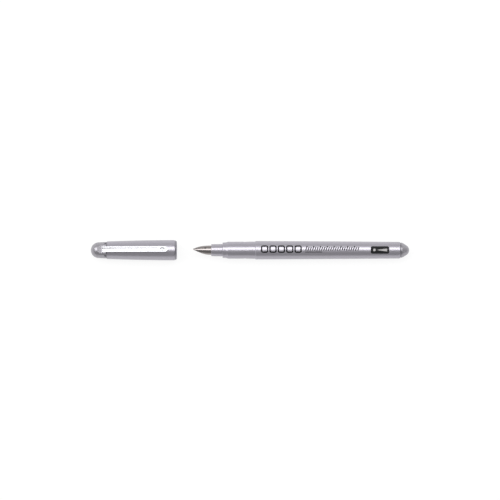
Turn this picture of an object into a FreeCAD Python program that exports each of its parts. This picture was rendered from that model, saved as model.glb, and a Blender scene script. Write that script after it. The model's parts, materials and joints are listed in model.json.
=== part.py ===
import FreeCAD, Part
import math
import os

from FreeCAD import Vector

# A drawing pen with a steel nib, with its cap pulled off and lying in line in front of the nib.
# The pen's axis is along X: the nib points to -X, the tail to +X. The cap's clip is on top, +Z.
# Lengths are in millimetres. Everything is modelled about the X axis and lifted at the end, so
# that the cap's widest ring stands on z = 0. x = 0 is the middle of the pen and cap together.

# --- overall lengths ---
PEN_LENGTH = 124.4
CAP_LENGTH = 49.4
CAP_TO_NIB_GAP = 9.4
OVERALL = PEN_LENGTH + CAP_LENGTH + CAP_TO_NIB_GAP

# --- pen, measured back from the nib's tip ---
NIB_TIP_X = -OVERALL / 2 + CAP_LENGTH + CAP_TO_NIB_GAP
TAIL_X = OVERALL / 2
NIB_REACH = 10.5
COLLAR_LENGTH = 6.5
SECTION_LENGTH = 18.9
TAIL_LENGTH = 5.15
COLLAR_X = NIB_TIP_X + NIB_REACH
SECTION_X = COLLAR_X + COLLAR_LENGTH
BARREL_X = SECTION_X + SECTION_LENGTH
BARREL_END_X = TAIL_X - TAIL_LENGTH

# --- pen radii ---
COLLAR_FRONT_R = 3.47
COLLAR_BACK_R = 3.6
COLLAR_SPIGOT_R = 3.2
COLLAR_SPIGOT = 4.5
RING_R = 4.45
GRIP_R = 4.9
GRIP_BACK_R = 5.0
BARREL_FRONT_R = 5.32
BARREL_MIDDLE_R = 5.11
BARREL_BACK_R = 4.8
BARREL_BORE_R = 4.1
GLUE_GAP = 0.02
SEAM = 0.25
TAIL_SEAM = 0.3
EDGE = 0.2

# --- cap ---
CROWN_TIP_X = -OVERALL / 2
CROWN_LENGTH = 9.2
SHELL_X = CROWN_TIP_X + CROWN_LENGTH
MOUTH_X = CROWN_TIP_X + CAP_LENGTH
DOME_R = 4.55
CROWN_BACK_R = 4.78
CROWN_WALL = 0.95
CROWN_SPIGOT = 1.9
SHELL_FRONT_R = 5.07
SHELL_MIDDLE_R = 5.6
SHELL_MIDDLE = 18.1
CAP_R = 5.86
LIP = 1.35
SHELL_BORE_R = 5.12
SNAP_DEPTH = 6.0
SNAP_R = 4.98
LINER_DEPTH = 19.05
LINER_R = 4.5
LINER_BACK_R = 4.2
LINER_BORE_R = 3.78
LINER_NIB_R = 3.3
LINER_LENGTH = 19.0
LINER_TAPER = 3.0

# --- clip ---
CLIP_WIDTH = 3.3
CLIP_THICK = 0.45
CLIP_TIP_X = MOUTH_X - 4.9
CLIP_ROOT_X = SHELL_X - 3.0
CLIP_ROOT_Z = 5.1
CLIP_PLAY = 0.12
BALL_X = CLIP_TIP_X - 3.2
BALL_GAP = 0.1

# --- boss on the crown that holds the clip's root ---
BOSS_R = 2.3
BOSS_X = CROWN_TIP_X + 3.7
BOSS_FRONT_Z = 4.5
BOSS_TOP = 6.3
BOSS_ROOF_X = BOSS_X + 3.1
CHEEK_TOP = CLIP_ROOT_Z + CLIP_THICK + 0.1
BOSS_FOOT_R = 0.3
NOTCH_ANGLE = 49.0

# --- nib, in its own frame: upright, then rolled about the pen's axis ---
NIB_ROLL = 20.0
NIB_SHEET = 0.28
NIB_TAIL = 5.0
SLIT_WIDTH = 0.07
BREATHER_S = 7.1
BREATHER_R = 0.45
# One row per station: distance behind the tip, height of the crest, half width, height of the edge.
NIB_STATIONS = [
    (0.0, 1.42, 0.26, 1.36),
    (1.5, 1.72, 0.92, 1.25),
    (2.8, 2.04, 1.52, 1.12),
    (5.0, 2.44, 2.24, 0.60),
    (7.5, 2.64, 2.56, -0.40),
    (NIB_REACH, 2.70, 2.54, -0.92),
    (NIB_REACH + NIB_TAIL, 2.70, 2.54, -0.92),
]

# --- feed, under the nib: distance behind the tip and height of its keel ---
FEED_STATIONS = [
    (1.9, 0.95),
    (2.8, 0.35),
    (5.0, -1.15),
    (7.5, -1.95),
    (NIB_REACH + NIB_TAIL, -2.35),
]
FEED_GAP = 0.02
FEED_TAIL_R = 2.3
FEED_TAIL = 20.0
FIN_PITCH = 0.75
FIN_SLOT = 0.3
COMB_START = 4.9
COMB_SLOTS = 6
COMB_TOP = -0.75
COMB_DROP = 0.09
COLLECTOR_START = 2.5
COLLECTOR_SLOTS = 14
COLLECTOR_DEPTH = 0.7
CHANNEL_WIDTH = 0.35
CHANNEL_FLOOR = 0.95
WICK_R = 0.7
WICK_DEPTH = 16.5
WICK_LENGTH = 26.0

# --- ink store in the barrel ---
STORE_X = BARREL_X + 10.5
STORE_END_X = BARREL_END_X - 7.0
STORE_R = 3.75
FILM = 0.12
AIR_TUBE_R = 0.5
AIR_TUBE_BORE_R = 0.28

AXIS = Vector(1, 0, 0)
UP = Vector(0, 0, 1)


def turned(start, *steps):
    """Solid of revolution about X. A step (x, r) is a straight edge, (xm, rm, x, r) is an arc."""
    first = Vector(start[0], 0, start[1])
    here = first
    edges = []
    for step in steps:
        there = Vector(step[-2], 0, step[-1])
        if len(step) == 4:
            middle = Vector(step[0], 0, step[1])
            edges.append(Part.Arc(here, middle, there).toShape())
        else:
            edges.append(Part.LineSegment(here, there).toShape())
        here = there
    edges.append(Part.LineSegment(here, first).toShape())
    return Part.Face(Part.Wire(edges)).revolve(Vector(), AXIS, 360)


def rod(x0, x1, radius, z=0.0):
    """Round rod along X from x0 to x1, its centre z above the axis."""
    return Part.makeCylinder(radius, x1 - x0, Vector(x0, 0, z), AXIS)


def tube(x0, x1, outer, inner, z=0.0):
    """Round tube along X."""
    return rod(x0, x1, outer, z).cut(rod(x0, x1, inner, z))


def block(x0, x1, half_width, z0, z1):
    """Block centred on y = 0."""
    return Part.makeBox(x1 - x0, 2 * half_width, z1 - z0, Vector(x0, -half_width, z0))


def roll(shape, degrees):
    """Turn a shape about the pen's axis, towards +Y at the top."""
    return shape.rotated(Vector(), AXIS, -degrees)


# --------------------------------------------------------------------------- pen body

def barrel():
    """Tapered tube, bulging slightly, with a step at the front that stops the cap."""
    middle_x = (BARREL_X + BARREL_END_X) / 2
    chamfer = 0.45
    return turned(
        (BARREL_X, BARREL_BORE_R),
        (BARREL_X, BARREL_FRONT_R - EDGE),
        (BARREL_X + EDGE, BARREL_FRONT_R),
        (middle_x, BARREL_MIDDLE_R, BARREL_END_X - chamfer, BARREL_BACK_R),
        (BARREL_END_X, BARREL_BACK_R - chamfer / 2),
        (BARREL_END_X, BARREL_BORE_R),
    )


def tail_plug():
    """Blunt cone with a round nose, pushed into the barrel on a spigot."""
    spigot = 5.0
    spigot_r = BARREL_BORE_R - GLUE_GAP
    base_r = 4.42
    nose_r = 3.3
    slope_start = (BARREL_END_X + 1.75, 3.98)
    nose_centre = TAIL_X - nose_r
    nose_angle = math.radians(58)
    nose_start = (nose_centre + nose_r * math.cos(nose_angle), nose_r * math.sin(nose_angle))
    nose_middle = (nose_centre + nose_r * math.cos(nose_angle / 2), nose_r * math.sin(nose_angle / 2))
    return turned(
        (BARREL_END_X - spigot, 0),
        (BARREL_END_X - spigot, spigot_r - EDGE),
        (BARREL_END_X - spigot + EDGE, spigot_r),
        (BARREL_END_X + TAIL_SEAM, spigot_r),
        (BARREL_END_X + TAIL_SEAM, base_r - EDGE / 2),
        (BARREL_END_X + TAIL_SEAM + EDGE, base_r),
        (BARREL_END_X + 1.2, 4.23, slope_start[0], slope_start[1]),
        nose_start,
        nose_middle + (TAIL_X, 0),
    )


def grip_section():
    """Slim tube the fingers hold: a narrower ring at its front, a spigot into the barrel behind."""
    ring = 2.1
    ramp = 1.1
    straight = 14.0
    spigot = 8.0
    spigot_r = BARREL_BORE_R - GLUE_GAP
    feed_bore_r = FEED_TAIL_R + GLUE_GAP
    feed_bore_x = SECTION_X + COLLAR_SPIGOT
    feed_bore_end_x = feed_bore_x + NIB_TAIL + 8.0
    ramp_in = 1.0
    groove_x = BARREL_X - SNAP_DEPTH
    groove_half = 0.6
    groove_depth = 0.08
    body = turned(
        (SECTION_X, COLLAR_SPIGOT_R),
        (SECTION_X, RING_R - EDGE),
        (SECTION_X + EDGE, RING_R - 0.03),
        (SECTION_X + ring, RING_R + 0.08),
        (SECTION_X + ring + ramp, GRIP_R),
        (SECTION_X + straight, GRIP_R),
        (BARREL_X, GRIP_BACK_R),
        (BARREL_X, spigot_r),
        (BARREL_X + spigot, spigot_r),
        (BARREL_X + spigot, COLLAR_SPIGOT_R),
        (feed_bore_end_x + ramp_in, COLLAR_SPIGOT_R),
        (feed_bore_end_x, feed_bore_r),
        (feed_bore_x, feed_bore_r),
        (feed_bore_x, COLLAR_SPIGOT_R),
    )
    groove = tube(groove_x - groove_half, groove_x + groove_half, GRIP_R + 1, GRIP_R - groove_depth)
    return body.cut(groove)


def nib_collar():
    """Ring that grips the nib and feed, with a fine groove where it meets the section."""
    bore_r = nib_tail_radius() + GLUE_GAP
    spigot_r = COLLAR_SPIGOT_R - GLUE_GAP
    return turned(
        (COLLAR_X, bore_r),
        (COLLAR_X, COLLAR_FRONT_R - 0.3),
        (COLLAR_X + 0.09, COLLAR_FRONT_R - 0.09, COLLAR_X + 0.3, COLLAR_FRONT_R),
        (SECTION_X - SEAM, COLLAR_BACK_R),
        (SECTION_X - SEAM, COLLAR_BACK_R - 0.25),
        (SECTION_X, COLLAR_BACK_R - 0.25),
        (SECTION_X, spigot_r),
        (SECTION_X + COLLAR_SPIGOT, spigot_r),
        (SECTION_X + COLLAR_SPIGOT, bore_r),
    )


# --------------------------------------------------------------------------- nib and feed

def station_arc(crest, half_width, edge_height):
    """Centre height, radius and half angle of the arc through a station's crest and both edges."""
    rise = crest - edge_height
    radius = (half_width ** 2 + rise ** 2) / (2 * rise)
    centre = crest - radius
    half_angle = math.atan2(half_width, edge_height - centre)
    return centre, radius, half_angle


def nib_tail_radius():
    """Outer radius of the nib where the collar holds it."""
    return station_arc(*NIB_STATIONS[-1][1:])[1]


def arc_at(x, centre, radius, from_angle, to_angle):
    """Arc in the plane at x. Angles are from straight up, positive towards +Y."""
    points = []
    for angle in (from_angle, (from_angle + to_angle) / 2, to_angle):
        points.append(Vector(x, radius * math.sin(angle), centre + radius * math.cos(angle)))
    return Part.Arc(*points).toShape()


def band_section(s, crest, half_width, edge_height):
    """Closed cross-section of the nib's sheet, s behind the tip."""
    x = NIB_TIP_X + s
    centre, radius, half = station_arc(crest, half_width, edge_height)
    outer = arc_at(x, centre, radius, -half, half)
    inner = arc_at(x, centre, radius - NIB_SHEET, half, -half)
    side_a = Part.LineSegment(outer.lastVertex().Point, inner.firstVertex().Point).toShape()
    side_b = Part.LineSegment(inner.lastVertex().Point, outer.firstVertex().Point).toShape()
    return Part.Wire([outer, side_a, inner, side_b])


def slit():
    """Cutter for the ink slit, from the tip back to the breather hole."""
    return block(NIB_TIP_X - 1, NIB_TIP_X + BREATHER_S, SLIT_WIDTH / 2, 0, 4)


def nib():
    """Formed steel sheet that wraps the feed and narrows to a split tip."""
    sheet = Part.makeLoft([band_section(*row) for row in NIB_STATIONS], True, False)
    hole = Part.makeCylinder(BREATHER_R, 4, Vector(NIB_TIP_X + BREATHER_S, 0, 0), UP)
    return roll(sheet.cut(slit()).cut(hole), NIB_ROLL)


def nib_tipping():
    """Hard pellet under the tip, ground round and split in two by the slit."""
    pellet_r = 0.3
    pellet_z = 0.98
    pellet = Part.makeSphere(pellet_r, Vector(NIB_TIP_X + pellet_r, 0, pellet_z))
    halves = pellet.cut(slit())
    return roll(halves, NIB_ROLL).cut(nib())


def station_at(s):
    """Crest, half width and edge height of the nib, s behind the tip, between two stations."""
    for before, after in zip(NIB_STATIONS, NIB_STATIONS[1:]):
        if before[0] <= s <= after[0]:
            share = (s - before[0]) / (after[0] - before[0])
            return [a + share * (b - a) for a, b in zip(before[1:], after[1:])]
    return list(NIB_STATIONS[-1][1:])


def feed_section(s, keel):
    """Closed cross-section of the feed: its top lies under the nib, its keel hangs below."""
    x = NIB_TIP_X + s
    centre, radius, half = station_arc(*station_at(s))
    top_r = radius - NIB_SHEET - FEED_GAP
    reach = min(half, math.radians(88)) * 0.94
    top = arc_at(x, centre, top_r, -reach, reach)
    keel_point = Vector(x, 0, keel)
    under = Part.Arc(top.lastVertex().Point, keel_point, top.firstVertex().Point).toShape()
    return Part.Wire([top, under])


def feed():
    """Feed with a keel that follows the nib, comb fins under it and collector fins behind it."""
    front = Part.makeLoft([feed_section(*row) for row in FEED_STATIONS], True, False)
    tail_start = NIB_TIP_X + NIB_REACH + NIB_TAIL
    tail_end = tail_start + FEED_TAIL
    body = front.fuse(rod(tail_start, tail_end, FEED_TAIL_R))
    cuts = []
    for slot in range(COMB_SLOTS):
        x = NIB_TIP_X + COMB_START + slot * FIN_PITCH
        cuts.append(block(x, x + FIN_SLOT, 3, -3, COMB_TOP - COMB_DROP * slot))
    for slot in range(COLLECTOR_SLOTS):
        x = tail_start + COLLECTOR_START + slot * FIN_PITCH
        cuts.append(tube(x, x + FIN_SLOT, FEED_TAIL_R + 1, FEED_TAIL_R - COLLECTOR_DEPTH))
    channel_end = tail_start + COLLECTOR_START + 1
    cuts.append(block(NIB_TIP_X, channel_end, CHANNEL_WIDTH / 2, CHANNEL_FLOOR, 4))
    cuts.append(rod(tail_end - WICK_DEPTH, tail_end + 1, WICK_R))
    for cut in cuts:
        body = body.cut(cut)
    return roll(body, NIB_ROLL)


def feed_wick():
    """Fibre rod from inside the feed to inside the ink store."""
    start = NIB_TIP_X + NIB_REACH + NIB_TAIL + FEED_TAIL - WICK_DEPTH
    return rod(start, start + WICK_LENGTH, WICK_R)


# --------------------------------------------------------------------------- ink store

def air_tube_z():
    """Height of the breather tube, which lies in a groove at the top of the store."""
    return STORE_R - AIR_TUBE_R


def ink_reservoir():
    """Rod of bonded fibre, with a groove for the breather tube and a socket for the wick."""
    body = rod(STORE_X, STORE_END_X, STORE_R)
    z = air_tube_z()
    groove = rod(STORE_X - 1, STORE_END_X + 1, AIR_TUBE_R, z)
    groove = groove.fuse(block(STORE_X - 1, STORE_END_X + 1, AIR_TUBE_R, z, STORE_R + 1))
    return body.cut(groove).cut(feed_wick())


def reservoir_film():
    """Thin film round the fibre rod."""
    return tube(STORE_X, STORE_END_X, STORE_R + FILM, STORE_R)


def breather_tube():
    """Fine tube along the store that lets air in as ink leaves."""
    return tube(STORE_X - 2, STORE_END_X + 2, AIR_TUBE_R, AIR_TUBE_BORE_R, air_tube_z())


# --------------------------------------------------------------------------- cap

def cap_shell():
    """Cap tube, widest near its rounded lip, with a snap bead inside and a step for the liner."""
    lip_x = MOUTH_X - LIP
    lip_top_r = CAP_R - 0.12
    lip_end_r = SHELL_BORE_R + 0.2
    snap_x = MOUTH_X - SNAP_DEPTH
    step_x = MOUTH_X - LINER_DEPTH
    neck_x = step_x - LINER_LENGTH + LINER_TAPER
    bead_flat = 0.2
    bead_foot = 0.5
    line = 0.3
    line_depth = 0.25
    return turned(
        (SHELL_X, LINER_BACK_R),
        (SHELL_X, SHELL_FRONT_R - EDGE),
        (SHELL_X + EDGE, SHELL_FRONT_R),
        (SHELL_X + SHELL_MIDDLE, SHELL_MIDDLE_R, lip_x, CAP_R),
        (lip_x, CAP_R - line_depth),
        (lip_x + line, CAP_R - line_depth),
        (lip_x + line, lip_top_r),
        (MOUTH_X - 0.25, lip_end_r),
        (MOUTH_X - 0.07, lip_end_r - 0.07, MOUTH_X, lip_end_r - 0.17),
        (MOUTH_X - 0.03, SHELL_BORE_R),
        (snap_x + bead_foot, SHELL_BORE_R),
        (snap_x + bead_flat, SNAP_R),
        (snap_x - bead_flat, SNAP_R),
        (snap_x - bead_foot, SHELL_BORE_R),
        (step_x, SHELL_BORE_R),
        (step_x, LINER_R),
        (neck_x, LINER_R),
        (neck_x - LINER_TAPER, LINER_BACK_R),
    )


def inner_cap():
    """Liner that closes round the nib and seats on the grip section's front ring."""
    rim_x = MOUTH_X - LINER_DEPTH
    end_x = rim_x - LINER_LENGTH
    wide = 9.5
    wall = 0.8
    return turned(
        (rim_x, LINER_BORE_R),
        (rim_x, LINER_R),
        (end_x + LINER_TAPER, LINER_R),
        (end_x, LINER_BACK_R),
        (end_x, 0),
        (end_x + wall, 0),
        (end_x + wall, LINER_NIB_R),
        (rim_x - wide - 1, LINER_NIB_R),
        (rim_x - wide, LINER_BORE_R),
    )


def boss():
    """Sloping hood over the clip's root, round in front, and two low cheeks beside the clip behind it."""
    foot_z = 3.75
    back_x = SHELL_X - SEAM
    past = BOSS_R + 1
    round_end = Part.makeCylinder(BOSS_R, past, Vector(BOSS_X + BOSS_R, 0, foot_z), UP)
    straight = block(BOSS_X + BOSS_R, back_x, BOSS_R, foot_z, foot_z + past)
    pad = round_end.fuse(straight).removeSplitter()
    outline = [
        Vector(BOSS_X, 0, BOSS_FRONT_Z),
        Vector(BOSS_ROOF_X, 0, BOSS_TOP),
        Vector(BOSS_ROOF_X, 0, CHEEK_TOP),
        Vector(back_x + 1, 0, CHEEK_TOP),
        Vector(back_x + 1, 0, BOSS_TOP + past),
        Vector(BOSS_X, 0, BOSS_TOP + past),
        Vector(BOSS_X, 0, BOSS_FRONT_Z),
    ]
    above = Part.Face(Part.makePolygon(outline))
    pad = pad.cut(above.translated(Vector(0, -past, 0)).extrude(Vector(0, 2 * past, 0)))
    rim = []
    for edge in pad.Edges:
        box = edge.BoundBox
        upright = box.XLength + box.YLength < 0.01
        inner_corner = box.XLength < 0.01 and box.ZMax < BOSS_TOP - 0.01
        if box.ZMin > BOSS_FRONT_Z - 0.01 and not upright and not inner_corner:
            rim.append(edge)
    return pad.makeFillet(0.3, rim)


def boss_foot(body):
    """Edges where the boss's wall meets the outside of the crown."""
    edges = []
    for edge in body.Edges:
        box = edge.BoundBox
        beside_boss = max(abs(box.YMin), abs(box.YMax)) < BOSS_R + 0.1 and box.XMin > BOSS_X - 0.1
        on_crown = box.ZMin > DOME_R - CROWN_WALL / 2 - 0.5 and box.ZMax < CROWN_BACK_R + 0.1
        crosses = box.XMax < SHELL_X - SEAM + 0.01 and box.XLength > 0.5
        if beside_boss and on_crown and crosses:
            edges.append(edge)
    return edges


def cap_crown():
    """Domed end of the cap with the clip's boss, two small notches and a spigot into the shell."""
    dome_middle = DOME_R * (1 - math.cos(math.radians(45)))
    hollow_r = DOME_R - CROWN_WALL
    hollow_middle = hollow_r * (1 - math.cos(math.radians(45)))
    neck_r = 4.45
    body = turned(
        (CROWN_TIP_X, 0),
        (CROWN_TIP_X + dome_middle, DOME_R * math.sin(math.radians(45)), CROWN_TIP_X + DOME_R, DOME_R),
        (SHELL_X - SEAM, CROWN_BACK_R),
        (SHELL_X - SEAM, neck_r),
        (SHELL_X, neck_r),
        (SHELL_X, LINER_BACK_R),
        (SHELL_X + CROWN_SPIGOT, LINER_BACK_R),
        (SHELL_X + CROWN_SPIGOT, hollow_r),
        (CROWN_TIP_X + CROWN_WALL + hollow_r, hollow_r),
        (CROWN_TIP_X + CROWN_WALL + hollow_middle, hollow_r * math.sin(math.radians(45)),
         CROWN_TIP_X + CROWN_WALL, 0),
    )
    body = body.fuse(boss())
    body = body.makeFillet(BOSS_FOOT_R, boss_foot(body))
    width = CLIP_WIDTH / 2 + CLIP_PLAY
    slot_x = CLIP_ROOT_X - CLIP_PLAY
    slot_top = CLIP_ROOT_Z + CLIP_THICK + CLIP_PLAY
    body = body.cut(block(slot_x, SHELL_X, width, CLIP_ROOT_Z - CLIP_PLAY, slot_top))
    body = body.cut(block(BOSS_ROOF_X, SHELL_X, width, CLIP_ROOT_Z - CLIP_PLAY, BOSS_TOP + 1))
    notch_length = 1.0
    notch_half = 0.65
    notch_floor = 3.95
    for side in (-1, 1):
        notch_x = SHELL_X - SEAM
        notch = block(notch_x - notch_length, notch_x + 0.01, notch_half, notch_floor, CROWN_BACK_R + 1)
        body = body.cut(roll(notch, side * NOTCH_ANGLE))
    return body


def bent_path(points, bend_r):
    """Edges of a path of straight runs in the XZ plane, with a tangent arc at each inner point."""
    corners = [Vector(x, 0, z) for x, z in points]
    edges = []
    here = corners[0]
    for before, corner, after in zip(corners, corners[1:], corners[2:]):
        to_before = (before - corner).normalize()
        to_after = (after - corner).normalize()
        turn = math.pi - to_before.getAngle(to_after)
        start = corner + to_before * (bend_r * math.tan(turn / 2))
        end = corner + to_after * (bend_r * math.tan(turn / 2))
        inward = (to_before + to_after).normalize()
        middle = corner + inward * (bend_r / math.cos(turn / 2) - bend_r)
        edges.append(Part.LineSegment(here, start).toShape())
        edges.append(Part.Arc(start, middle, end).toShape())
        here = end
    edges.append(Part.LineSegment(here, corners[-1]).toShape())
    return edges


def clip():
    """Spring strip: a root tab in the boss, a long blade with a shallow channel, a ball near the tip."""
    bend_x = SHELL_X - 0.5
    rise_x = SHELL_X + 1.9
    rise_z = 5.68
    flare_x = CLIP_TIP_X - 1.8
    flare_z = 6.33
    tip_z = 6.6
    bend_r = 4.0
    under = [
        (CLIP_ROOT_X, CLIP_ROOT_Z),
        (bend_x, CLIP_ROOT_Z),
        (rise_x, rise_z),
        (flare_x, flare_z),
        (CLIP_TIP_X, tip_z),
    ]
    over = [(x, z + CLIP_THICK) for x, z in under]
    outline = bent_path(under, bend_r) + bent_path(over, bend_r)
    for low, high in ((under[0], over[0]), (under[-1], over[-1])):
        outline.append(Part.LineSegment(Vector(low[0], 0, low[1]), Vector(high[0], 0, high[1])).toShape())
    half = CLIP_WIDTH / 2
    profile = Part.Face(Part.Wire(Part.__sortEdges__(outline)))
    blade = profile.translated(Vector(0, -half, 0)).extrude(Vector(0, CLIP_WIDTH, 0))
    plan = block(CLIP_ROOT_X - 1, CLIP_TIP_X - half, half, 4, 8)
    plan = plan.fuse(Part.makeCylinder(half, 4, Vector(CLIP_TIP_X - half, 0, 4), UP))
    blade = blade.common(plan)
    blade = blade.cut(clip_channel(rise_x, rise_z, flare_x, flare_z))
    ball_r = 1.0
    ball_z = shell_radius(BALL_X) + BALL_GAP + ball_r
    blade_under = flare_z - 0.05
    ball = Part.makeSphere(ball_r, Vector(BALL_X, 0, ball_z))
    ball = ball.common(block(BALL_X - 2, BALL_X + 2, 2, 4, blade_under + CLIP_THICK / 2))
    dimple_r = 2.2
    dimple_depth = 0.25
    dimple_z = blade_under + CLIP_THICK - dimple_depth + dimple_r
    dimple = Part.makeSphere(dimple_r, Vector(BALL_X, 0, dimple_z))
    return blade.fuse(ball).cut(dimple)


def clip_channel(x0, z0, x1, z1):
    """Cutter for the shallow channel along the blade's top."""
    depth = 0.12
    half = 0.75
    start = 3.0
    end = 5.5
    angle = math.degrees(math.atan2(z1 - z0, x1 - x0))
    length = x1 - x0 - start - end
    cutter = block(0, length, half, CLIP_THICK - depth, CLIP_THICK + 1)
    for x in (0, length):
        round_end = Part.makeCylinder(half, 1 + depth, Vector(x, 0, CLIP_THICK - depth), UP)
        cutter = cutter.fuse(round_end)
    cutter = cutter.rotated(Vector(), Vector(0, 1, 0), -angle)
    offset = Vector(x0 + start, 0, z0 + start * math.tan(math.radians(angle)))
    return cutter.translated(offset)


def shell_radius(x):
    """Outer radius of the cap shell at x, from the same arc as its outline."""
    front = Vector(SHELL_X + EDGE, SHELL_FRONT_R, 0)
    middle = Vector(SHELL_X + SHELL_MIDDLE, SHELL_MIDDLE_R, 0)
    back = Vector(MOUTH_X - LIP, CAP_R, 0)
    circle = Part.Arc(front, middle, back).toShape().Curve
    return circle.Center.y + math.sqrt(circle.Radius ** 2 - (x - circle.Center.x) ** 2)


# --------------------------------------------------------------------------- export

SUB_PARTS = [
    barrel,
    tail_plug,
    grip_section,
    nib_collar,
    nib,
    nib_tipping,
    feed,
    feed_wick,
    ink_reservoir,
    reservoir_film,
    breather_tube,
    cap_shell,
    inner_cap,
    cap_crown,
    clip,
]


def export_all():
    os.makedirs("parts", exist_ok=True)
    for sub_part in SUB_PARTS:
        shape = sub_part()
        shape.translate(Vector(0, 0, CAP_R))
        shape.exportStep("parts/" + sub_part.__name__ + ".step")
        box = shape.optimalBoundingBox(False)
        print("%-15s solids %d valid %s volume %8.2f  x %7.2f %7.2f  y %6.2f %6.2f  z %6.2f %6.2f" % (
            sub_part.__name__, len(shape.Solids), shape.isValid(), shape.Volume,
            box.XMin, box.XMax, box.YMin, box.YMax, box.ZMin, box.ZMax))


export_all()
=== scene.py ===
import json
import math

import bmesh
import bpy
from mathutils import Matrix, Vector


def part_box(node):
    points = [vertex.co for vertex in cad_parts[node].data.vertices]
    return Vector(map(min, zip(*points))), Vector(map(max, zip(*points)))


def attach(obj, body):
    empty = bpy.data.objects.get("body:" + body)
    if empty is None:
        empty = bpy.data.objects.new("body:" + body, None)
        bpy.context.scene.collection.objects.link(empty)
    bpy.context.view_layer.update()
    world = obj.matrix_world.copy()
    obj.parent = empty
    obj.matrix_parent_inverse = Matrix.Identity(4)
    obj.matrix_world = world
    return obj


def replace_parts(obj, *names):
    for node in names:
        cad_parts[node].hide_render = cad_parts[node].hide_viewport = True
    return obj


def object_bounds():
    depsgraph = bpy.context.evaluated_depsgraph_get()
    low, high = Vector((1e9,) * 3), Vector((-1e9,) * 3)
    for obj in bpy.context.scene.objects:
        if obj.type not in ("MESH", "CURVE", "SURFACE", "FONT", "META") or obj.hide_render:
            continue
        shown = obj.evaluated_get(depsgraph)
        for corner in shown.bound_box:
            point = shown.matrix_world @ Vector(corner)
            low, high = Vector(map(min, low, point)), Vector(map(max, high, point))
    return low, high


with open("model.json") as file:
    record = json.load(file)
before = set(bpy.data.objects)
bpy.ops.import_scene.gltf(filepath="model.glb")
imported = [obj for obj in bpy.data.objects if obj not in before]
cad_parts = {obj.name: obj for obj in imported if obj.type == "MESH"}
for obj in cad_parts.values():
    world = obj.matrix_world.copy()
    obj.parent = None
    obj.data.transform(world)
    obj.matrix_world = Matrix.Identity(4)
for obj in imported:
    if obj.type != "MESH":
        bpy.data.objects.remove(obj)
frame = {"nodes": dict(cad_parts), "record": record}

# A silver drawing pen with a steel nib, lying with its cap pulled off in line with the nib.
# X runs along the pen from nib to tail, Z is up through the clip and the print. Every object is in
# metres. The clip and the print are worked out in millimetres and scaled to metres last.

CAD_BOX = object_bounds()
MM = 0.001

SHELL_LOW, SHELL_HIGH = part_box("cap_shell")
BARREL_LOW, BARREL_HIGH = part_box("barrel")
CLIP_LOW, CLIP_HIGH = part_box("clip")
AXIS_Z = (SHELL_LOW.z + SHELL_HIGH.z) / 2

UP = 1
DOWN = -1
ABOVE_ALL = 30 * MM


def surface_height(node, x, y, way):
    """Where a ray that goes up or down at x, y first meets a CAD node, all in metres."""
    start = Vector((x, y, 0 if way == UP else ABOVE_ALL))
    _, place, _, _ = frame["nodes"][node].ray_cast(start, Vector((0, 0, way)))
    return place.z


def add_object(name, data):
    """New object in the scene."""
    item = bpy.data.objects.new(name, data)
    bpy.context.scene.collection.objects.link(item)
    return item


# ------------------------------------------------------------------------------ materials
# Patterns are in object coordinates, in metres. Scales are in features per metre, so 1000 is one
# to a millimetre. Colours are linear.

# Painted shade: dark lines across the pen where pieces meet and in the groove by the cap's lip,
# standing for the shadow in them: x, half width, fade on each side, share that is left.
CROWN_SEAM_SHADE = (SHELL_LOW.x, 0.15 * MM, 0.30 * MM, 0.70)
LIP_RING_SHADE = (SHELL_HIGH.x - 0.60 * MM, 0.20 * MM, 0.30 * MM, 0.60)
TAIL_SEAM_SHADE = (BARREL_HIGH.x + 0.20 * MM, 0.15 * MM, 0.20 * MM, 0.45)


def new_material(name):
    """Material with a node tree, and its Principled shader."""
    material = bpy.data.materials.new(name)
    material.use_nodes = True
    return material, material.node_tree.nodes["Principled BSDF"]


def add_node(owner, kind, **settings):
    """Node in a material or world, with its properties and input values set by name."""
    node = owner.node_tree.nodes.new(kind)
    for key, value in settings.items():
        if hasattr(node, key):
            setattr(node, key, value)
        else:
            node.inputs[key.replace("_", " ")].default_value = value
    return node


def join(owner, output, target):
    owner.node_tree.links.new(output, target)


def split_axes(owner, coordinates):
    """X, Y and Z of one of the texture coordinates."""
    source = add_node(owner, "ShaderNodeTexCoord")
    axes = add_node(owner, "ShaderNodeSeparateXYZ")
    join(owner, source.outputs[coordinates], axes.inputs["Vector"])
    return axes.outputs


def stretched(material, stretch):
    """Object coordinates, scaled apart on each axis, so that grain can run along the pen."""
    coordinates = add_node(material, "ShaderNodeTexCoord")
    mapping = add_node(material, "ShaderNodeMapping", Scale=stretch)
    join(material, coordinates.outputs["Object"], mapping.inputs["Vector"])
    return mapping.outputs["Vector"]


def noise(material, scale, detail=3.0, stretch=(1, 1, 1)):
    """Height of a cloudy pattern, 0 to 1."""
    node = add_node(material, "ShaderNodeTexNoise", Scale=scale, Detail=detail)
    join(material, stretched(material, stretch), node.inputs["Vector"])
    return node.outputs["Fac"]


def flakes(material, scale):
    """A random grey for each small cell, 0 to 1."""
    node = add_node(material, "ShaderNodeTexVoronoi", Scale=scale)
    join(material, stretched(material, (1, 1, 1)), node.inputs["Vector"])
    grey = add_node(material, "ShaderNodeRGBToBW")
    join(material, node.outputs["Color"], grey.inputs["Color"])
    return grey.outputs["Val"]


def tint(material, pattern, dark, light):
    """Colour from dark to light along a 0 to 1 pattern."""
    node = add_node(material, "ShaderNodeValToRGB")
    node.color_ramp.elements[0].color = (*dark, 1)
    node.color_ramp.elements[1].color = (*light, 1)
    join(material, pattern, node.inputs["Fac"])
    return node.outputs["Color"]


def paint(material, shader, pattern, dark, light):
    """Base colour from dark to light along a 0 to 1 pattern."""
    join(material, tint(material, pattern, dark, light), shader.inputs["Base Color"])


def roughen(material, shader, pattern, low, high):
    """Roughness from low to high along a 0 to 1 pattern."""
    node = add_node(material, "ShaderNodeMapRange", To_Min=low, To_Max=high)
    join(material, pattern, node.inputs["Value"])
    join(material, node.outputs["Result"], shader.inputs["Roughness"])


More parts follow.
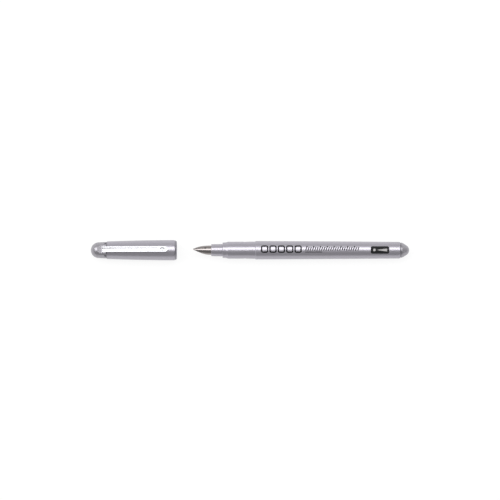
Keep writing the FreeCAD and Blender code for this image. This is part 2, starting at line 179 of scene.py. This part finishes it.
def emboss(material, shader, pattern, depth, strength):
    """Bump from a pattern, depth in millimetres."""
    node = add_node(material, "ShaderNodeBump", Strength=strength, Distance=depth * MM)
    join(material, pattern, node.inputs["Height"])
    join(material, node.outputs["Normal"], shader.inputs["Normal"])


def ease_between(owner, source, start, end, low, high):
    """Low up to start, high from end on, and a smooth slope between them."""
    node = add_node(owner, "ShaderNodeMapRange", interpolation_type="SMOOTHSTEP")
    node.inputs["From Min"].default_value = start
    node.inputs["From Max"].default_value = end
    node.inputs["To Min"].default_value = low
    node.inputs["To Max"].default_value = high
    join(owner, source, node.inputs["Value"])
    return node.outputs["Result"]


def paint_shade_lines(material, colour, lines):
    """Paints shade into a colour: a dark band at each place along the pen, each given like the crown
    seam's line.
    """
    along = split_axes(material, "Object")["X"]
    for x, half, fade, left in lines:
        beyond = add_node(material, "ShaderNodeMath", operation="SUBTRACT")
        beyond.inputs[1].default_value = x
        join(material, along, beyond.inputs[0])
        distance = add_node(material, "ShaderNodeMath", operation="ABSOLUTE")
        join(material, beyond.outputs["Value"], distance.inputs[0])
        amount = ease_between(material, distance.outputs["Value"], half, half + fade, left, 1)
        shaded = add_node(material, "ShaderNodeVectorMath", operation="SCALE")
        join(material, colour, shaded.inputs[0])
        join(material, amount, shaded.inputs["Scale"])
        colour = shaded.outputs["Vector"]
    return colour


def flake_plastic(name, dark, light):
    """Moulded plastic with fine aluminium flake under a satin skin, with painted shade where pieces
    meet and by the lip.
    """
    material, shader = new_material(name)
    flake = flakes(material, scale=18000)
    # painted shade: the flake colour is darkened along the seams and the lip ring
    painted_shade_lines = [CROWN_SEAM_SHADE, LIP_RING_SHADE, TAIL_SEAM_SHADE]
    colour = paint_shade_lines(material, tint(material, flake, dark, light), painted_shade_lines)
    join(material, colour, shader.inputs["Base Color"])
    roughen(material, shader, noise(material, scale=900), low=0.28, high=0.33)
    emboss(material, shader, flake, depth=0.002, strength=0.3)
    shader.inputs["Metallic"].default_value = 0.8
    return material


def silver_plastic():
    return flake_plastic("silver_plastic", dark=(0.354, 0.340, 0.381), light=(0.451, 0.435, 0.480))


def end_plastic():
    """The two rounded ends: the same plastic, less blue, and darker as painted shade for the dimmer
    light on their domes.
    """
    return flake_plastic("end_plastic", dark=(0.312, 0.303, 0.330), light=(0.398, 0.387, 0.417))


def clip_metal():
    """Bright plated spring steel with faint polishing lines along it."""
    material, shader = new_material("clip_metal")
    lines = noise(material, scale=4000, detail=2.0, stretch=(0.04, 1, 1))
    paint(material, shader, lines, dark=(0.40, 0.40, 0.42), light=(0.50, 0.50, 0.52))
    roughen(material, shader, lines, low=0.22, high=0.30)
    emboss(material, shader, lines, depth=0.002, strength=0.4)
    shader.inputs["Metallic"].default_value = 1.0
    return material


def nib_steel():
    """Polished stainless steel, slightly warm, with fine lines from the rolling of the sheet."""
    material, shader = new_material("nib_steel")
    lines = noise(material, scale=6000, stretch=(0.05, 1, 1))
    paint(material, shader, lines, dark=(0.26, 0.238, 0.234), light=(0.33, 0.305, 0.300))
    roughen(material, shader, lines, low=0.12, high=0.20)
    emboss(material, shader, lines, depth=0.002, strength=0.4)
    shader.inputs["Metallic"].default_value = 1.0
    return material


def tipping_alloy():
    """Hard ground pellet, a little duller than the nib."""
    material, shader = new_material("tipping_alloy")
    grain = noise(material, scale=30000)
    paint(material, shader, grain, dark=(0.50, 0.49, 0.48), light=(0.62, 0.61, 0.60))
    roughen(material, shader, grain, low=0.25, high=0.4)
    shader.inputs["Metallic"].default_value = 1.0
    return material


def feed_plastic():
    """Black moulded plastic with a fine matt texture."""
    material, shader = new_material("feed_plastic")
    grain = noise(material, scale=9000)
    paint(material, shader, grain, dark=(0.012, 0.012, 0.014), light=(0.03, 0.03, 0.034))
    roughen(material, shader, grain, low=0.35, high=0.5)
    emboss(material, shader, grain, depth=0.005, strength=0.3)
    return material


def liner_plastic():
    """Natural, slightly milky plastic."""
    material, shader = new_material("liner_plastic")
    cloud = noise(material, scale=500)
    paint(material, shader, cloud, dark=(0.74, 0.74, 0.72), light=(0.84, 0.84, 0.83))
    roughen(material, shader, cloud, low=0.38, high=0.5)
    return material


def fibre():
    """Bonded fibres that run along the rod."""
    material, shader = new_material("fibre")
    strands = noise(material, scale=9000, detail=4.0, stretch=(0.03, 1, 1))
    paint(material, shader, strands, dark=(0.55, 0.54, 0.50), light=(0.92, 0.91, 0.88))
    emboss(material, shader, strands, depth=0.04, strength=0.8)
    shader.inputs["Roughness"].default_value = 0.9
    return material


def film():
    """Thin clear wrap with faint wrinkles along it."""
    material, shader = new_material("film")
    wrinkles = noise(material, scale=1500, stretch=(0.2, 1, 1))
    paint(material, shader, wrinkles, dark=(0.80, 0.82, 0.84), light=(0.93, 0.94, 0.95))
    roughen(material, shader, wrinkles, low=0.1, high=0.25)
    emboss(material, shader, wrinkles, depth=0.03, strength=0.5)
    shader.inputs["Alpha"].default_value = 0.5
    return material


def print_ink():
    """Black pad print: a thin, slightly uneven ink film."""
    material, shader = new_material("print_ink")
    grain = noise(material, scale=12000, detail=4.0)
    paint(material, shader, grain, dark=(0.006, 0.006, 0.007), light=(0.02, 0.02, 0.022))
    roughen(material, shader, grain, low=0.5, high=0.7)
    emboss(material, shader, grain, depth=0.002, strength=0.3)
    shader.inputs["Specular IOR Level"].default_value = 0.12
    return material


def print_pale():
    """Pale pad print on the black badge."""
    material, shader = new_material("print_pale")
    grain = noise(material, scale=12000, detail=4.0)
    paint(material, shader, grain, dark=(0.34, 0.33, 0.33), light=(0.44, 0.43, 0.43))
    roughen(material, shader, grain, low=0.5, high=0.65)
    shader.inputs["Specular IOR Level"].default_value = 0.12
    return material


MAKERS = [
    silver_plastic,
    end_plastic,
    clip_metal,
    nib_steel,
    tipping_alloy,
    feed_plastic,
    liner_plastic,
    fibre,
    film,
    print_ink,
    print_pale,
]
MATERIALS = {maker.__name__: maker() for maker in MAKERS}


def finish_cad_nodes():
    """Gives every CAD node the material of its slot in the record."""
    for part in frame["record"]["subparts"]:
        mesh = frame["nodes"][part["node"]].data
        mesh.materials.clear()
        mesh.materials.append(MATERIALS[part["material_slot"]])


def add_piece(mesh, slot, body):
    """New piece named like its mesh, with a slot's material, that rides on a body."""
    mesh.materials.append(MATERIALS[slot])
    piece = add_object(mesh.name, mesh)
    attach(piece, body)
    return piece


finish_cad_nodes()


# ------------------------------------------------------------------------------ pressed clip
# Stands for the CAD clip: the same path, width and thickness, with eased edges, a soft channel and
# an oval dimple. Millimetres. Each slope is the length over which a pressed depth fades out, and
# the dimple's is a share of its size.

CLIP_ROOT = CLIP_LOW.x / MM
CLIP_TIP = CLIP_HIGH.x / MM
CLIP_HALF = (CLIP_HIGH.y - CLIP_LOW.y) / 2 / MM
FIRST_RAY = CLIP_ROOT + 0.05     # just inside the root's end, where a ray surely meets the clip
TIP_START = CLIP_TIP - CLIP_HALF
LENGTH_STEPS = 150
TIP_STEPS = 16
TIP_TURN = 85                    # degrees, just short of the tip's end

EDGE_ROUND = 0.13
EDGE_SHARE = 0.7                 # most of the half width that the rounding takes, near the tip
EDGE_STEPS = 3
TOP_STEPS = 22

BALL_X = CLIP_TIP - 3.2
BALL_R = 1.0
BALL_SUNK = 0.4                  # share of the strip's thickness
BESIDE_BALL = CLIP_HALF * 0.8
STRAIGHT_X = CLIP_ROOT + 6

CHANNEL_END = CLIP_TIP - 5.4
CHANNEL_END_SLOPE = 1.2
CHANNEL_HALF = 0.95
CHANNEL_SIDE_SLOPE = 0.6
CHANNEL_DEPTH = 0.07

ROOT_DEPTH = 0.06
ROOT_DEPTH_END = CLIP_ROOT + 10
ROOT_DEPTH_SLOPE = 4

DIMPLE_HALF_LENGTH = 1.6
DIMPLE_HALF_WIDTH = 0.95
DIMPLE_SLOPE = 0.45
DIMPLE_DEPTH = 0.22


def clip_height(x, y, way):
    return surface_height("clip", x * MM, y * MM, way) / MM


def clip_underside(x):
    """Height of the strip's underside at x; past the last full width it carries on straight."""
    if x <= TIP_START:
        return clip_height(max(x, FIRST_RAY), BESIDE_BALL, UP)
    height = clip_height(TIP_START, BESIDE_BALL, UP)
    slope = height - clip_height(TIP_START - 1, BESIDE_BALL, UP)
    return height + slope * (x - TIP_START)


def clip_thickness():
    """Thickness of the strip, taken where it is straight."""
    return clip_height(STRAIGHT_X, BESIDE_BALL, DOWN) - clip_underside(STRAIGHT_X)


def smooth_step(value):
    value = min(max(value, 0.0), 1.0)
    return value * value * (3 - 2 * value)


def clip_relief(x, y):
    """How far the top is pressed down at x, y: a channel, deeper at its root, and an oval dimple."""
    depth = CHANNEL_DEPTH + ROOT_DEPTH * smooth_step((ROOT_DEPTH_END - x) / ROOT_DEPTH_SLOPE)
    along = smooth_step((CHANNEL_END - x) / CHANNEL_END_SLOPE)
    across = smooth_step((CHANNEL_HALF - abs(y)) / CHANNEL_SIDE_SLOPE)
    from_dimple = math.hypot((x - BALL_X) / DIMPLE_HALF_LENGTH, y / DIMPLE_HALF_WIDTH)
    dimple = DIMPLE_DEPTH * smooth_step((1 - from_dimple) / DIMPLE_SLOPE)
    return depth * along * across + dimple


def clip_loop(x, half, thick):
    """Closed cross-section of the strip at x: a rounded edge, the pressed top, the other edge."""
    ease = min(EDGE_ROUND, half * EDGE_SHARE)
    edge = []
    for corner, height in enumerate((ease, thick - ease)):
        for step in range(EDGE_STEPS + 1):
            angle = math.radians(90 * (corner - 1) + 90 * step / EDGE_STEPS)
            edge.append((half - ease + ease * math.cos(angle), height + ease * math.sin(angle)))
    top = []
    for step in range(1, TOP_STEPS):
        y = (half - ease) * (1 - 2 * step / TOP_STEPS)
        top.append((y, thick - clip_relief(x, y)))
    other_edge = [(-y, height) for y, height in reversed(edge)]
    low = clip_underside(x)
    return [Vector((x, y, low + height)) * MM for y, height in edge + top + other_edge]


def clip_stations():
    """Pairs of x and half width: along the strip, then round its tip."""
    length = TIP_START - CLIP_ROOT
    stations = [(CLIP_ROOT + length * step / LENGTH_STEPS, CLIP_HALF) for step in range(LENGTH_STEPS)]
    for step in range(TIP_STEPS + 1):
        angle = math.radians(TIP_TURN * step / TIP_STEPS)
        stations.append((TIP_START + CLIP_HALF * math.sin(angle), CLIP_HALF * math.cos(angle)))
    return stations


def add_strip(solid, thick):
    """Strip through its cross-sections, closed at both ends."""
    loops = []
    for x, half in clip_stations():
        loops.append([solid.verts.new(place) for place in clip_loop(x, half, thick)])
    for back, front in zip(loops, loops[1:]):
        for i in range(len(back)):
            j = (i + 1) % len(back)
            solid.faces.new((back[i], back[j], front[j], front[i]))
    solid.faces.new(loops[0][::-1])
    solid.faces.new(loops[-1])


def add_ball(mesh, thick):
    """Lower part of the contact ball, closed by a flat inside the strip."""
    ball = bmesh.new()
    middle = Matrix.Translation(Vector((BALL_X, 0, clip_height(BALL_X, 0, UP) + BALL_R)) * MM)
    bmesh.ops.create_uvsphere(ball, u_segments=32, v_segments=16, radius=BALL_R * MM, matrix=middle)
    cut = Vector((0, 0, clip_underside(BALL_X) + thick * BALL_SUNK)) * MM
    parts = ball.verts[:] + ball.edges[:] + ball.faces[:]
    bmesh.ops.bisect_plane(ball, geom=parts, plane_co=cut, plane_no=(0, 0, 1), clear_outer=True)
    bmesh.ops.holes_fill(ball, edges=[edge for edge in ball.edges if edge.is_boundary])
    ball.to_mesh(mesh)
    ball.free()


def pressed_clip():
    thick = clip_thickness()
    solid = bmesh.new()
    add_strip(solid, thick)
    mesh = bpy.data.meshes.new("pressed_clip")
    add_ball(mesh, thick)
    solid.from_mesh(mesh)
    bmesh.ops.recalc_face_normals(solid, faces=solid.faces[:])
    for face in solid.faces:
        face.smooth = True
    solid.to_mesh(mesh)
    solid.free()
    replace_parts(add_piece(mesh, slot="clip_metal", body="clip"), "clip")


pressed_clip()


# ------------------------------------------------------------------------------ print on the barrel
# Shapes are drawn flat, in millimetres: x along the pen, v around the barrel from its top towards
# +Y. They are then cut into narrow strips, thickened and wrapped onto the barrel.

BARREL_FRONT = BARREL_LOW.x / MM
BARREL_BACK = BARREL_HIGH.x / MM
STRIP = 0.3
STRIP_ROWS = 12
CORNER_STEPS = 6

FRAMES = 5
FRAME_LEFT = BARREL_FRONT + 3.15
FRAME_PITCH = 4.8
FRAME_WIDTH = 4.3
FRAME_LOW = -2.1
FRAME_HIGH = 2.4
FRAME_LINE = 0.85
FRAME_ROUND = 1.3

STROKES = 24
STROKE_LEFT = BARREL_FRONT + 28.5
STROKE_PITCH = 1.3
STROKE_LOW = -0.7
STROKE_WIDTH = 0.62
STROKE_LEAN = 0.35               # along the pen, for each millimetre of height
TALL_STROKE = 2.7
SHORT_STROKE = 2.0
TALL_EVERY = 3

UNDERLINE_LENGTH = 9.8
UNDERLINE_LOW = -1.75
UNDERLINE_HIGH = -1.35
UNDERLINE_ROUND = 0.19

BADGE_LEFT = BARREL_BACK - 17.15
BADGE_RIGHT = BARREL_BACK - 6.55
BADGE_V = -0.35
BADGE_HALF = 2.2
BADGE_ROUND = 1.0

DOT_X = BADGE_LEFT + 2.1
DOT_R = 0.75
DOT_ROUND = DOT_R * 0.99         # just under the full radius, so that no two corners coincide

SWELL_LEFT = BADGE_LEFT + 3.9
SWELL_RIGHT = BADGE_RIGHT - 1.2
SWELL_THIN = 0.12
SWELL_BROAD = 0.85


def barrel_radius(x):
    """Outer radius of the barrel at x, both in metres."""
    return surface_height("barrel", x, 0, DOWN) - AXIS_Z


def add_ring(flat, outer, inner):
    """Outline shape between two loops with the same number of corners."""
    outside = [flat.verts.new((x, v, 0)) for x, v in outer]
    inside = [flat.verts.new((x, v, 0)) for x, v in inner]
    for i in range(len(outer)):
        j = (i + 1) % len(outer)
        flat.faces.new((outside[i], outside[j], inside[j], inside[i]))


def add_patch(flat, corners):
    flat.faces.new([flat.verts.new((x, v, 0)) for x, v in corners])


def rounded_box(x0, x1, v0, v1, radius):
    """Corners of a box with rounded corners, anticlockwise."""
    corners = []
    centres = [(x1 - radius, v1 - radius), (x0 + radius, v1 - radius)]
    centres += [(x0 + radius, v0 + radius), (x1 - radius, v0 + radius)]
    for quarter, (x, v) in enumerate(centres):
        for step in range(CORNER_STEPS + 1):
            angle = math.radians(90 * quarter + 90 * step / CORNER_STEPS)
            corners.append((x + radius * math.cos(angle), v + radius * math.sin(angle)))
    return corners


def slanted_stroke(x, v, height, width, lean):
    return [(x, v), (x + width, v), (x + width + lean, v + height), (x + lean, v + height)]


def add_frame(flat, left):
    """Rounded box with an even line all round."""
    right = left + FRAME_WIDTH
    outer = rounded_box(left, right, FRAME_LOW, FRAME_HIGH, FRAME_ROUND)
    sides = (left + FRAME_LINE, right - FRAME_LINE, FRAME_LOW + FRAME_LINE, FRAME_HIGH - FRAME_LINE)
    add_ring(flat, outer, rounded_box(*sides, FRAME_ROUND - FRAME_LINE))


def wrap(name, flat, bottom, top, slot):
    """Cuts flat shapes into strips and wraps them, from bottom to top above the barrel's skin."""
    for row in range(-STRIP_ROWS, STRIP_ROWS + 1):
        parts = flat.verts[:] + flat.edges[:] + flat.faces[:]
        bmesh.ops.bisect_plane(flat, geom=parts, plane_co=(0, row * STRIP, 0), plane_no=(0, 1, 0))
    grown = bmesh.ops.extrude_face_region(flat, geom=flat.faces[:], use_keep_orig=True)
    upper = {item for item in grown["geom"] if isinstance(item, bmesh.types.BMVert)}
    for vert in flat.verts:
        x = vert.co.x * MM
        radius = barrel_radius(x)
        around = vert.co.y * MM / radius
        reach = radius + (top if vert in upper else bottom) * MM
        vert.co = (x, reach * math.sin(around), AXIS_Z + reach * math.cos(around))
    bmesh.ops.recalc_face_normals(flat, faces=flat.faces[:])
    mesh = bpy.data.meshes.new(name)
    flat.to_mesh(mesh)
    flat.free()
    add_piece(mesh, slot, body="pen")


def black_print():
    """Row of open frames, a run of slanted strokes, a fine line under them and a rounded badge."""
    flat = bmesh.new()
    for mark in range(FRAMES):
        add_frame(flat, FRAME_LEFT + FRAME_PITCH * mark)
    for mark in range(STROKES):
        left = STROKE_LEFT + STROKE_PITCH * mark
        height = SHORT_STROKE if mark % TALL_EVERY else TALL_STROKE
        add_patch(flat, slanted_stroke(left, STROKE_LOW, height, STROKE_WIDTH, STROKE_LEAN * height))
    line_end = STROKE_LEFT + UNDERLINE_LENGTH
    add_patch(flat, rounded_box(STROKE_LEFT, line_end, UNDERLINE_LOW, UNDERLINE_HIGH, UNDERLINE_ROUND))
    badge_sides = (BADGE_LEFT, BADGE_RIGHT, BADGE_V - BADGE_HALF, BADGE_V + BADGE_HALF)
    add_patch(flat, rounded_box(*badge_sides, BADGE_ROUND))
    wrap("print_black", flat, bottom=-0.03, top=0.02, slot="print_ink")


def pale_print():
    """On the badge: a dot, and a stroke that swells from fine to broad."""
    flat = bmesh.new()
    dot_sides = (DOT_X - DOT_R, DOT_X + DOT_R, BADGE_V - DOT_R, BADGE_V + DOT_R)
    add_patch(flat, rounded_box(*dot_sides, DOT_ROUND))
    swell = [(SWELL_LEFT, BADGE_V - SWELL_THIN), (SWELL_RIGHT, BADGE_V - SWELL_BROAD)]
    swell += [(SWELL_RIGHT, BADGE_V + SWELL_BROAD), (SWELL_LEFT, BADGE_V + SWELL_THIN)]
    add_patch(flat, swell)
    wrap("print_pale", flat, bottom=0.0, top=0.035, slot="print_pale")


black_print()
pale_print()


# ------------------------------------------------------------------------------ stage

def floor():
    """Pale table just under the pen, bright enough to read as white."""
    half = 3.0
    level = CAD_BOX[0][2] - 0.02 * MM
    corners = [(-half, -half, level), (half, -half, level), (half, half, level), (-half, half, level)]
    mesh = bpy.data.meshes.new("floor")
    mesh.from_pydata(corners, [], [(0, 1, 2, 3)])
    material, shader = new_material("floor")
    shader.inputs["Base Color"].default_value = (0.12, 0.12, 0.12, 1)
    shader.inputs["Roughness"].default_value = 0.9
    shader.inputs["Specular IOR Level"].default_value = 0.0
    shader.inputs["Emission Color"].default_value = (1, 1, 1, 1)
    shader.inputs["Emission Strength"].default_value = 0.88
    mesh.materials.append(material)
    add_object("floor", mesh)


def softbox(name, across, along, distance, width, depth, power):
    """Soft light aimed at the pen, leaning in degrees from straight up towards +Y and towards -X."""
    light = bpy.data.lights.new(name, "AREA")
    light.shape = "RECTANGLE"
    light.size = width
    light.size_y = depth
    light.energy = power
    lean_across = Matrix.Rotation(math.radians(-across), 4, "X")
    lean_along = Matrix.Rotation(math.radians(-along), 4, "Y")
    middle = Matrix.Translation((0, 0, AXIS_Z))
    away = Matrix.Translation((0, 0, distance))
    add_object(name, light).matrix_world = middle @ lean_across @ lean_along @ away


def studio():
    """White at the horizon, grey overhead, lighter behind the pen than in front of it."""
    world = bpy.data.worlds.new("studio")
    world.use_nodes = True
    bpy.context.scene.world = world
    axes = split_axes(world, "Generated")
    overhead = ease_between(world, axes["Y"], start=-0.5, end=0.7, low=0.35, high=0.75)
    height = ease_between(world, axes["Z"], start=0.04, end=0.26, low=0, high=1)
    blend = add_node(world, "ShaderNodeMix", data_type="FLOAT", A=1.0)
    join(world, height, blend.inputs["Factor"])
    join(world, overhead, blend.inputs["B"])
    join(world, blend.outputs["Result"], world.node_tree.nodes["Background"].inputs["Color"])


def camera():
    """Long lens, almost straight down, a little from the front."""
    lens = bpy.data.cameras.new("camera")
    lens.lens = 200
    lens.sensor_width = 36
    lens.clip_end = 20
    eye = add_object("camera", lens)
    bpy.context.scene.camera = eye
    elevation = math.radians(84.5)
    distance = 1.599
    target = Vector((0, 0.1 * MM, AXIS_Z))
    eye.location = target + distance * Vector((0, -math.cos(elevation), math.sin(elevation)))
    eye.rotation_euler = (math.pi / 2 - elevation, 0, 0)


floor()
softbox("softbox", across=14.5, along=0, distance=2.4, width=3.2, depth=1.45, power=44)
softbox("end_panel", across=14.5, along=46, distance=2.4, width=1.0, depth=1.5, power=15)
studio()
camera()
bpy.context.scene.view_settings.view_transform = "Standard"
